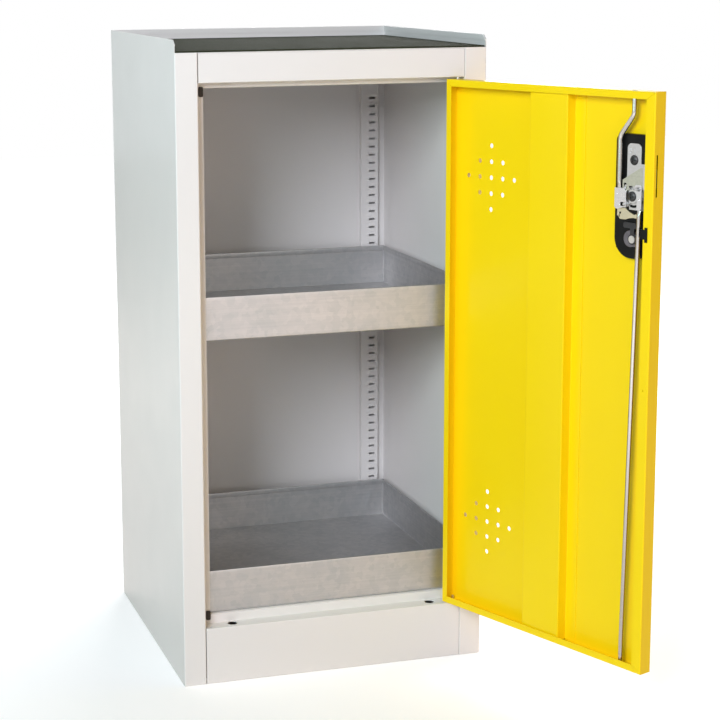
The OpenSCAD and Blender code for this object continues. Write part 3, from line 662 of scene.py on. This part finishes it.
def lever_shell():
    """Width: the hub's circle, then a smooth waist, then a round tip. Middle and thickness follow
    a long low arch."""
    x = np.concatenate([-hub_radius * np.cos(np.linspace(0.12, np.pi / 2, 14)),
                        np.linspace(1, tip_start, 60),
                        tip_start + tip_reach * np.sin(np.linspace(0.1, 1.45, 12))])
    hub = np.sqrt(np.clip(hub_radius ** 2 - x ** 2, 0, None))
    share = np.clip((x - 8) / (tip_start - 8), 0, 1)
    waist = 7.4 + 5.0 * np.exp(-x.clip(0) / 7.0) + 1.7 * share ** 2
    tip = np.sqrt(np.clip(1 - ((x - tip_start).clip(0) / (tip_reach + 0.05)) ** 2, 0.0, 1))
    wide = np.where(x < 6, np.maximum(hub, 0.4), np.maximum(waist, hub)) * tip
    low = -5.0 - 3.5 * np.clip((x - 10) / 14, 0, 1) - 1.9 * np.sin(np.pi * share)
    high = -14.0 - 2.9 * np.sin(np.pi * share)
    low, high = low - 0.6 * (1 - tip), high + 1.6 * (1 - tip)
    middle, thick = (low + high) / 2, (low - high) / 2 * np.sqrt(np.clip(tip, 0.3, 1))
    turn = np.linspace(0, 2 * np.pi, 40, endpoint=False)
    u = wide[:, None] * signed_power(np.cos(turn), lever_squareness)
    v = thick[:, None] * signed_power(np.sin(turn), lever_squareness)
    return shell(behind_door(-x[:, None], middle[:, None] + v, u),
                 around=True, first=True, last=True)


def turned_shell(across, up, profile, sides=48):
    """A profile of radius and depth, turned about an axis through the door."""
    profile = np.array(profile, float)
    turn = np.linspace(0, 2 * np.pi, sides, endpoint=False)
    r = profile[:, :1]
    return shell(behind_door(across + r * np.cos(turn), profile[:, 1:], up + r * np.sin(turn)),
                 around=True, first=True, last=True)


collar = turned_shell(0.0, 0.0, [
    (11.4, -2.2), (12.0, -2.6), (12.0, -4.6), (11.6, -5.2), (10.0, -5.6)])
build_piece("lever", [lever_shell(), collar], "handle", "black_plastic", ["handle_lever"],
            sharp=50)

# %% [markdown]
# ## Rubber buffers
# The two buffers on the rebate strip are small cushions of rubber, glued on. A superellipsoid has
# the flat faces and soft corners of such a block.

# %% Buffers
def block_shell(low, high, power=6.0, rows=19, columns=36):
    """Superellipsoid between two corners: signed powers of the sines and cosines of latitude and
    longitude."""
    low, high = np.array(low, float), np.array(high, float)
    middle, half = (low + high) / 2, (high - low) / 2
    a = np.linspace(-np.pi / 2 + 0.06, np.pi / 2 - 0.06, rows)[:, None]
    b = np.linspace(0, 2 * np.pi, columns, endpoint=False)[None]
    ring = signed_power(np.cos(a), 2 / power)
    grid = np.stack([
        ring * signed_power(np.cos(b), 2 / power), ring * signed_power(np.sin(b), 2 / power),
        signed_power(np.sin(a), 2 / power) * np.ones_like(b)], axis=-1)
    grid /= np.abs(grid).max(axis=(0, 1))
    return shell((middle + half * grid) * 0.001, around=True, first=True, last=True)


build_piece("rubber_buffers", [
    block_shell((-226.5, 25.3, z), (-218.5, 28.0, z + 16.5)) for z in (106.5, 1010.0)],
    "cabinet", "buffer_rubber", ["door_buffers"])

# %% [markdown]
# ## Pressed and moulded parts of the lock
# The plates of the lock are stamped, the dish is moulded and the keeper is a pressed brass part.
# Their drawn shapes are right, so they only get softened edges. A few wear a finish of their own:
# the side bolt is yellow passivated, the links are polished, and the cam is dark.

# %% Soften them
finish_apart = {
    "side_bolt": yellow_zinc, "upper_link": polished_zinc, "lower_link": polished_zinc,
    "lock_cam": black_steel}
fine_edge, soft_edge, moulded_edge = 0.0003, 0.0004, 0.0006
edge_width = {
    "lock_housing": moulded_edge, "lock_base_plate": fine_edge, "lock_keeper": soft_edge,
    "bolt_guide": fine_edge, "lock_cylinder": soft_edge, "lock_crank": fine_edge,
    "upper_link": fine_edge, "lower_link": fine_edge, "side_bolt": fine_edge,
    "lock_cam": fine_edge, "lock_core": soft_edge, "rod_guides": fine_edge,
    "shelf_clips": fine_edge, "hinge_pins": fine_edge, "hinge_washer": fine_edge}
for node, width in edge_width.items():
    piece = softened(node, width)
    if node in finish_apart:
        piece.data.materials[0] = finish_apart[node]

# %% [markdown]
# ## Studio
# The photograph is lit softly from the front and left, on white. The floor here is a pale sheet
# that keeps the cabinet's shadow. What the camera and the glossy coats see beyond it is plain
# white, while the light on the cabinet stays at a level where a colour shows as it is written.

# %% Floor
# Metres: the middle of the plinth's footprint, and the ring round it where the lift sets in
plinth_middle, plinth_ring = (0, 0.26, 0), (0.2, 0.26)


def floor_material():
    """Diffuse for every ray. What the camera or a gloss sees is lifted to white, and the lift grows
    with the distance from the cabinet, so the shadow stays and the horizon goes. Inside the plinth
    there is no lift, so its holes stay dark."""
    material = bpy.data.materials.new("floor_white")
    material.use_nodes = True
    tree = material.node_tree
    tree.nodes.clear()
    away = add(tree, "ShaderNodeVectorMath", {0: object_point(tree)}, operation="LENGTH")
    inward = add(tree, "ShaderNodeVectorMath", {
        0: object_point(tree), 1: plinth_middle}, operation="DISTANCE")
    beyond_plinth = add(tree, "ShaderNodeMapRange", {
        "Value": inward.outputs["Value"], "From Min": plinth_ring[0], "From Max": plinth_ring[1]})
    lift = add(tree, "ShaderNodeMapRange", {
        "Value": away.outputs["Value"], "From Min": 0.7, "From Max": 2.6, "To Min": 0.42,
        "To Max": 1.0}, interpolation_type="SMOOTHSTEP")
    lift = add(tree, "ShaderNodeMath", {
        0: lift.outputs["Result"], 1: beyond_plinth.outputs["Result"]}, operation="MULTIPLY")
    path = add(tree, "ShaderNodeLightPath")
    glow_tint = add(tree, "ShaderNodeMix", {
        0: path.outputs["Is Glossy Ray"], 6: (1, 1, 1, 1), 7: (0.64, 0.61, 0.57, 1)},
        data_type="RGBA")
    looked_at = add(tree, "ShaderNodeMath", {
        0: path.outputs["Is Camera Ray"], 1: path.outputs["Is Glossy Ray"]}, operation="MAXIMUM")
    looked_at = add(tree, "ShaderNodeMath", {
        0: looked_at.outputs[0], 1: path.outputs["Is Transmission Ray"]}, operation="MAXIMUM")
    tint = add(tree, "ShaderNodeMix", {
        0: path.outputs["Is Camera Ray"], 6: (0.85, 0.76, 0.72, 1), 7: (0.78, 0.78, 0.78, 1)},
        data_type="RGBA")
    body = add(tree, "ShaderNodeBsdfDiffuse", {"Color": tint.outputs[2]})
    glow = add(tree, "ShaderNodeEmission", {
        "Color": glow_tint.outputs[2], "Strength": lift.outputs[0]})
    both = add(tree, "ShaderNodeAddShader", {0: body.outputs[0], 1: glow.outputs[0]})
    seen = add(tree, "ShaderNodeMixShader", {
        0: looked_at.outputs[0], 1: body.outputs[0], 2: both.outputs[0]})
    add(tree, "ShaderNodeOutputMaterial", {"Surface": seen.outputs[0]})
    material.cycles.emission_sampling = "NONE"
    return material


def sheet_mesh(name, corners):
    """One flat face with the given corners."""
    mesh = bpy.data.meshes.new(name)
    mesh.from_pydata(corners, [], [tuple(range(len(corners)))])
    made = bpy.data.objects.new(name, mesh)
    bpy.context.collection.objects.link(made)
    return made


floor = sheet_mesh("floor", [(-9, -9, 0), (9, -9, 0), (9, 9, 0), (-9, 9, 0)])
floor.data.materials.append(floor_material())

# %% Sky and lamps
def studio_world():
    """White where the camera, a gloss or a glass looks, and a dimmer even light elsewhere."""
    world = bpy.data.worlds.new("studio")
    bpy.context.scene.world = world
    world.use_nodes = True
    tree = world.node_tree
    tree.nodes.clear()
    path = add(tree, "ShaderNodeLightPath")
    seen = add(tree, "ShaderNodeMath", {
        0: path.outputs["Is Camera Ray"], 1: path.outputs["Is Glossy Ray"]}, operation="MAXIMUM")
    seen = add(tree, "ShaderNodeMath", {
        0: seen.outputs[0], 1: path.outputs["Is Transmission Ray"]}, operation="MAXIMUM")
    even = add(tree, "ShaderNodeBackground", {"Color": (1, 1, 1, 1), "Strength": 0.03})
    white = add(tree, "ShaderNodeBackground", {"Color": (1, 1, 1, 1), "Strength": 1.0})
    both = add(tree, "ShaderNodeMixShader", {
        0: seen.outputs[0], 1: even.outputs[0], 2: white.outputs[0]})
    add(tree, "ShaderNodeOutputWorld", {"Surface": both.outputs[0]})


def softbox(name, place, target, size, power, colour=(1, 1, 1)):
    """A square area lamp at place, turned to face target."""
    data = bpy.data.lights.new(name, "AREA")
    data.shape, data.size, data.size_y = "RECTANGLE", size[0], size[1]
    data.energy, data.color = power, colour
    lamp = bpy.data.objects.new(name, data)
    lamp.visible_camera = False
    bpy.context.collection.objects.link(lamp)
    away = np.array(place, float) - np.array(target, float)
    away /= np.linalg.norm(away)
    across = np.cross((0, 0, 1), away)
    across /= np.linalg.norm(across)
    matrix = np.eye(4)
    matrix[:3, 0], matrix[:3, 1], matrix[:3, 2] = across, np.cross(away, across), away
    matrix[:3, 3] = place
    lamp.matrix_world = Matrix(matrix.tolist())
    return lamp


studio_world()
# Place, target and size in metres, power in watts, colour
softbox("key", (-2.4, -3.2, 2.3), (0.1, 0, 0.55), (1.6, 1.6), 150, (0.895, 0.92, 1.0))
softbox("front", (0.2, -4.0, 2.2), (0, 0, 0.55), (1.6, 1.6), 13)
softbox("fill", (2.2, -3.2, 1.3), (0, 0, 0.6), (1.8, 1.8), 18, (1.0, 0.52, 0.34))
softbox("left", (-3.2, -1.5, 1.4), (0, 0, 0.6), (1.6, 1.6), 20, (0.35, 1.0, 0.85))
softbox("right", (3.0, 1.4, 2.0), (0.3, 0.1, 0.6), (1.6, 1.6), 64)
softbox("back", (1.2, 3.2, 2.2), (0, 0.5, 0.6), (1.6, 1.6), 80)
print("studio: a strong lamp at the left front, and five weaker ones round the cabinet")
